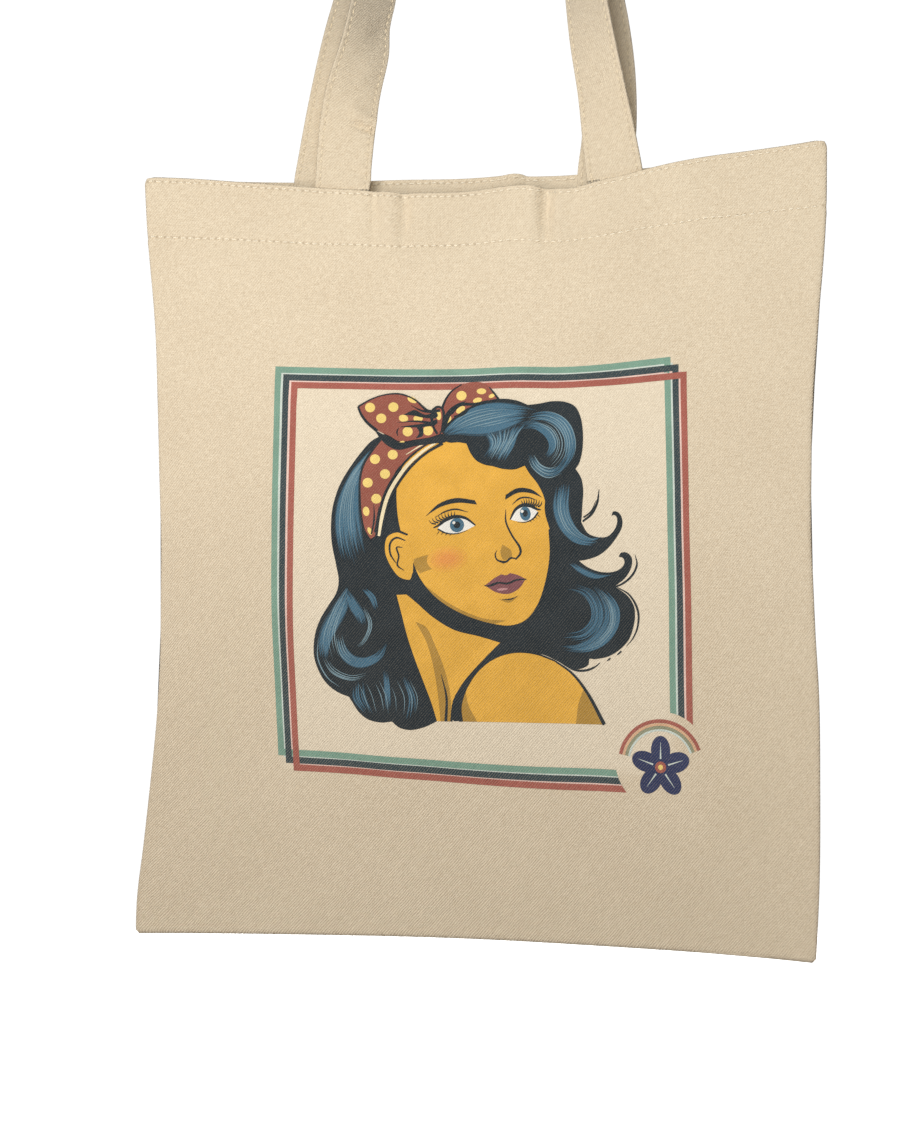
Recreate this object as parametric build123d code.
from build123d import *
import math
import os

# Canvas tote bag hanging by its two handles from a round hook. All sizes in mm.
# Frame: the origin is the centre of the hook, +Z is up, -Y is the printed front.
os.makedirs("parts", exist_ok=True)

# The bag's body: two curved cloth panels, hollow side towards the front
BAG_WIDTH = 380.0
BAG_HEIGHT = 420.0
CLOTH = 0.7
HEM_DEPTH = 34.0
HEM_THICK = 2.1
HEM_SIDE_MARGIN = 10.0
TOP_Z = -320.0
BOTTOM_Z = TOP_Z - BAG_HEIGHT
HEM_Z = TOP_Z - HEM_DEPTH
BEND_RADIUS = 700.0
FRONT_MID_Y = 4.0
BEND_CENTRE_Y = FRONT_MID_Y - BEND_RADIUS
MOUTH_GAP = 20.0
SEAM_GAP = 2.4
HALF_ANGLE = BAG_WIDTH / 2 / BEND_RADIUS
HALF_CHORD = BEND_RADIUS * math.sin(HALF_ANGLE)
END_DROP = BEND_RADIUS * (1 - math.cos(HALF_ANGLE))

# Seam allowances inside the bag
SEAM_WIDTH = 8.0
SEAM_THICK = 1.0
CLEAR = 0.15

# Handles: folded straps that hang on the hook
STRAP_WIDTH = 31.0
STRAP_THICK = 1.6
HOOK_RADIUS = 15.0
APEX_Y = 18.0
FRONT_ROOTS = (-78.5, 74.7)
BACK_ROOTS = (-94.4, 67.7)
STRAP_ROOT_Z = TOP_Z + 1.0
LEG_STATIONS = 14
TWIST_POWER = 1.5
END_TOP_Z = TOP_Z - 0.2
END_BOTTOM_Z = HEM_Z + 1.0

# Threads and print films
THREAD = 0.5
THREAD_INSET = 3.0
FILM = 0.2
FILM_STEP = 0.35
PRINT_CENTRE = (-6.2, -532.0)
FRAME_WIDTH = 222.0
FRAME_HEIGHT = 219.0
FRAME_MIDDLE = (2.0, -1.5)
FRAME_LINE = 3.4
FRAME_SHIFT = (4.65, -4.25)
MARK_CENTRE = (107.6, -108.4)
MARK_CLEARING = 26.4


def sector(radius_low, radius_high, z_low, z_high, angle_low, angle_high):
    """Part of a ring round the front panel's bend axis, angles in radians towards +X."""
    profile = Plane.YZ * Pos((radius_low + radius_high) / 2, (z_low + z_high) / 2)
    profile *= Rectangle(radius_high - radius_low, z_high - z_low)
    ring = revolve(profile, axis=Axis.Z, revolution_arc=math.degrees(angle_high - angle_low))
    return Pos(0, BEND_CENTRE_Y, 0) * Rot(0, 0, -math.degrees(angle_high)) * ring


def back_mid(z):
    """Y of the back panel's middle surface at X = 0."""
    share = (z - BOTTOM_Z) / BAG_HEIGHT
    return FRONT_MID_Y + SEAM_GAP + share * (MOUTH_GAP - SEAM_GAP)


def back_radius(z):
    """Bend radius of the back panel at height Z."""
    end_y = FRONT_MID_Y - END_DROP + SEAM_GAP
    rise = back_mid(z) - end_y
    return (HALF_CHORD**2 + rise**2) / (2 * rise)


def back_depth(x, z):
    """Y of the back panel's middle surface at X and Z."""
    radius = back_radius(z)
    return back_mid(z) - radius + math.sqrt(radius**2 - x**2)


def back_section(z, offset_low, offset_high, half_x):
    """Curved strip at height Z between two offsets from the middle surface."""
    corners = []
    for offset in (offset_low, offset_high):
        start = (-half_x, back_depth(-half_x, z) + offset)
        middle = (0, back_mid(z) + offset)
        end = (half_x, back_depth(half_x, z) + offset)
        corners.append((start, middle, end))
    low, high = corners
    outline = [
        ThreePointArc(low[0], low[1], low[2]),
        Line(low[2], high[2]),
        ThreePointArc(high[2], high[1], high[0]),
        Line(high[0], low[0]),
    ]
    return Pos(0, 0, z) * make_face(outline)


def front_panel():
    """Front cloth with its turned-in hem as one piece."""
    cloth = sector(
        BEND_RADIUS - CLOTH / 2, BEND_RADIUS + CLOTH / 2, BOTTOM_Z, TOP_Z, -HALF_ANGLE, HALF_ANGLE
    )
    hem_angle = HALF_ANGLE - HEM_SIDE_MARGIN / BEND_RADIUS
    outer = BEND_RADIUS - CLOTH / 2
    hem = sector(outer, outer + HEM_THICK, HEM_Z, TOP_Z, -hem_angle, hem_angle)
    return cloth + hem


def back_panel():
    """Back cloth with its turned-in hem, nearly flat on the front one at the bottom."""
    cloth = loft(
        [back_section(z, -CLOTH / 2, CLOTH / 2, HALF_CHORD) for z in (BOTTOM_Z, TOP_Z)], ruled=True
    )
    half_hem = HALF_CHORD - HEM_SIDE_MARGIN
    inner = CLOTH / 2 - HEM_THICK
    hem = loft([back_section(z, inner, CLOTH / 2, half_hem) for z in (HEM_Z, TOP_Z)], ruled=True)
    return cloth + hem


def side_seam(side):
    """Seam allowance between the panels along one side (-1 left, 1 right)."""
    radius = BEND_RADIUS + CLOTH / 2 + CLEAR
    width = SEAM_WIDTH / BEND_RADIUS
    angles = sorted((side * (HALF_ANGLE - width), side * HALF_ANGLE))
    return sector(radius, radius + SEAM_THICK, BOTTOM_Z, TOP_Z - 1, angles[0], angles[1])


def bottom_seam():
    """Seam allowance between the panels along the bottom."""
    radius = BEND_RADIUS + CLOTH / 2 + CLEAR
    angle = HALF_ANGLE - (SEAM_WIDTH + 0.5) / BEND_RADIUS
    return sector(radius, radius + SEAM_THICK, BOTTOM_Z, BOTTOM_Z + SEAM_WIDTH, -angle, angle)


def front_root(x):
    """Centre and turn in radians of a front strap where it lies on the hem's inside."""
    angle = math.asin(x / BEND_RADIUS)
    reach = BEND_RADIUS - CLOTH / 2 + HEM_THICK + CLEAR + STRAP_THICK / 2
    return reach * math.sin(angle), BEND_CENTRE_Y + reach * math.cos(angle), -angle


def back_root(x):
    """The same for a back strap, which lies on the front side of the back hem."""
    radius = back_radius(TOP_Z)
    angle = math.asin(x / radius)
    reach = radius + CLOTH / 2 - HEM_THICK - 0.6 - STRAP_THICK / 2
    centre_y = back_mid(TOP_Z) - radius
    return reach * math.sin(angle), centre_y + reach * math.cos(angle), -angle


def handle_end(root, lean=0.0):
    """Sewn-in end of a strap, flat on the inside of the hem."""
    x, y, turn = root
    height = END_TOP_Z - END_BOTTOM_Z
    strip = Pos(0, 0, -height / 2) * Box(STRAP_WIDTH, STRAP_THICK, height)
    return Pos(x, y, END_TOP_Z) * Rot(0, 0, math.degrees(turn)) * Rot(lean, 0, 0) * strip


def strap_station(root, side, apex_y, share):
    """Plane of a strap's cross-section, from the hem (0) to the hook (1)."""
    x, y, turn = root
    top_x = side * (HOOK_RADIUS + STRAP_THICK / 2)
    centre = (
        x + share * (top_x - x),
        y + share * (apex_y - y),
        STRAP_ROOT_Z * (1 - share),
    )
    full_turn = -side * math.pi / 2
    eased = 1 - (1 - share) ** TWIST_POWER
    angle = turn + eased * (full_turn - turn)
    return Plane(origin=centre, x_dir=(math.cos(angle), math.sin(angle), 0), z_dir=(0, 0, 1))


def ribbon(roots, apex_y, along, across, width, depth):
    """A band that follows a handle: up one leg, over the hook, down the other leg."""
    pieces = []
    for side, root in zip((-1, 1), roots):
        sections = []
        for i in range(LEG_STATIONS + 1):
            plane = strap_station(root, side, apex_y, i / LEG_STATIONS)
            local = Pos(-side * along, across) * Rectangle(width, depth)
            sections.append(plane * local)
        pieces.append(loft(sections, ruled=True))
    middle = HOOK_RADIUS + STRAP_THICK / 2 + across
    profile = Plane.XY * Pos(-middle, apex_y + along) * Rectangle(depth, width)
    pieces.append(revolve(profile, axis=Axis.Y, revolution_arc=180))
    return pieces[0] + pieces[1] + pieces[2]


def thread_rows(roots, apex_y):
    """Two stitch rows along a handle's edges, on the face that looks away from the bag."""
    across = math.copysign(STRAP_THICK / 2 + CLEAR + THREAD / 2, apex_y)
    reach = STRAP_WIDTH / 2 - THREAD_INSET
    return [ribbon(roots, apex_y, along, across, THREAD, THREAD) for along in (-reach, reach)]


def front_thread(z):
    """Stitch row on the outside of the front panel."""
    radius = BEND_RADIUS - CLOTH / 2 - CLEAR
    return sector(radius - THREAD, radius, z - THREAD / 2, z + THREAD / 2, -HALF_ANGLE, HALF_ANGLE)


def back_thread(z):
    """Stitch row on the outside of the back panel."""
    low = CLOTH / 2 + CLEAR
    strip = [
        back_section(z + step, low, low + THREAD, HALF_CHORD) for step in (-THREAD / 2, THREAD / 2)
    ]
    return loft(strip, ruled=True)


def film(outline, layer):
    """Print film: an outline in the print's own X-Z plane, laid on the front panel."""
    raised = Pos(0, 40, 0) * extrude(Plane.XZ * Pos(*PRINT_CENTRE) * outline, amount=120)
    radius = BEND_RADIUS - CLOTH / 2 - 0.2 - layer * FILM_STEP
    shell = sector(radius - FILM, radius, BOTTOM_Z + 20, TOP_Z - 40, -0.24, 0.24)
    return raised & shell


def frame_outline(step):
    """One square line of the border, shifted and open at the corner mark."""
    across = FRAME_MIDDLE[0] + step * FRAME_SHIFT[0]
    up = FRAME_MIDDLE[1] + step * FRAME_SHIFT[1]
    line = Rectangle(FRAME_WIDTH, FRAME_HEIGHT) - Rectangle(
        FRAME_WIDTH - 2 * FRAME_LINE, FRAME_HEIGHT - 2 * FRAME_LINE
    )
    return Pos(across, up) * line - Pos(*MARK_CENTRE) * Circle(MARK_CLEARING)


def closed_curve(*points):
    """Face inside a smooth closed curve."""
    return make_face(Spline(*points, periodic=True))


def skin_outline():
    """Head, neck and bare shoulder."""
    head = Pos(8, 12) * Rot(0, 0, 14) * Ellipse(37, 50)
    neck = Polygon((-40, -20), (10, -34), (16, -60), (-18, -89), (-30, -60), align=None)
    shoulder = Pos(32, -89) * Circle(40) & Pos(32, -69) * Rectangle(80, 40)
    return head + neck + shoulder


def hair_outline():
    """Rolled fringe and long waves round the head."""
    left = closed_curve(
        (-50, 66), (-78, 28), (-76, -20), (-88, -56), (-62, -88), (-22, -91), (-36, -50), (-40, -20), (-52, 20)
    )
    fringe = closed_curve((-16, 68), (12, 90), (52, 87), (63, 60), (48, 42), (36, 50), (6, 56))
    right = closed_curve(
        (48, 44), (60, 42), (64, 4), (92, -24), (84, -50), (58, -60), (20, -46), (44, -20), (50, 10)
    )
    return left + fringe + right


def scarf_outline():
    """Spotted headband with a bow."""
    band = closed_curve((-48, 66), (-62, 36), (-58, 16), (-54, 16), (-46, 40), (-22, 64), (-34, 66))
    left_loop = closed_curve((-62, 86), (-42, 94), (-26, 86), (-20, 80), (-22, 70), (-44, 68))
    right_loop = closed_curve((-18, 80), (-8, 97), (8, 97), (14, 90), (-4, 88), (-14, 74))
    return band + left_loop + right_loop


def flower_outline():
    """Generic five-petal flower for the corner of the frame."""
    shape = Circle(5)
    for i in range(5):
        angle = math.radians(90 + 72 * i)
        shape += Pos(9 * math.cos(angle), 9 * math.sin(angle)) * Circle(6)
    return Pos(*MARK_CENTRE) * shape


def save(name, shape):
    """Write one named piece."""
    solids = shape if isinstance(shape, list) else list(shape.solids())
    piece = solids[0] if len(solids) == 1 else Compound(children=solids)
    piece.label = name
    export_step(piece, f"parts/{name}.step")


front_roots = [front_root(x) for x in FRONT_ROOTS]
back_roots = [back_root(x) for x in BACK_ROOTS]
BACK_LEAN = math.degrees(math.atan((MOUTH_GAP - SEAM_GAP) / BAG_HEIGHT))

save("front_panel", front_panel())
save("back_panel", back_panel())
save("left_side_seam", side_seam(-1))
save("right_side_seam", side_seam(1))
save("bottom_seam", bottom_seam())
save("front_handle_end_left", handle_end(front_roots[0]))
save("front_handle_end_right", handle_end(front_roots[1]))
save("back_handle_end_left", handle_end(back_roots[0], -BACK_LEAN))
save("back_handle_end_right", handle_end(back_roots[1], -BACK_LEAN))
save("front_top_stitch", front_thread(TOP_Z - 2.5))
save("front_hem_stitch", front_thread(HEM_Z + 2.0))
save("back_top_stitch", back_thread(TOP_Z - 2.5))
save("back_hem_stitch", back_thread(HEM_Z + 2.0))
save("front_handle", ribbon(front_roots, -APEX_Y, 0, 0, STRAP_WIDTH, STRAP_THICK))
save("back_handle", ribbon(back_roots, APEX_Y, 0, 0, STRAP_WIDTH, STRAP_THICK))
for label, roots, apex_y in (("front", front_roots, -APEX_Y), ("back", back_roots, APEX_Y)):
    rows = thread_rows(roots, apex_y)
    save(f"{label}_handle_stitch_near", rows[0])
    save(f"{label}_handle_stitch_far", rows[1])
for step, colour in enumerate(("teal", "navy", "red")):
    save(f"print_frame_{colour}", film(frame_outline(step), step))
save("print_skin", film(skin_outline(), 0))
save("print_hair", film(hair_outline(), 1))
save("print_scarf", film(scarf_outline(), 3))
save("print_flower", film(flower_outline(), 0))
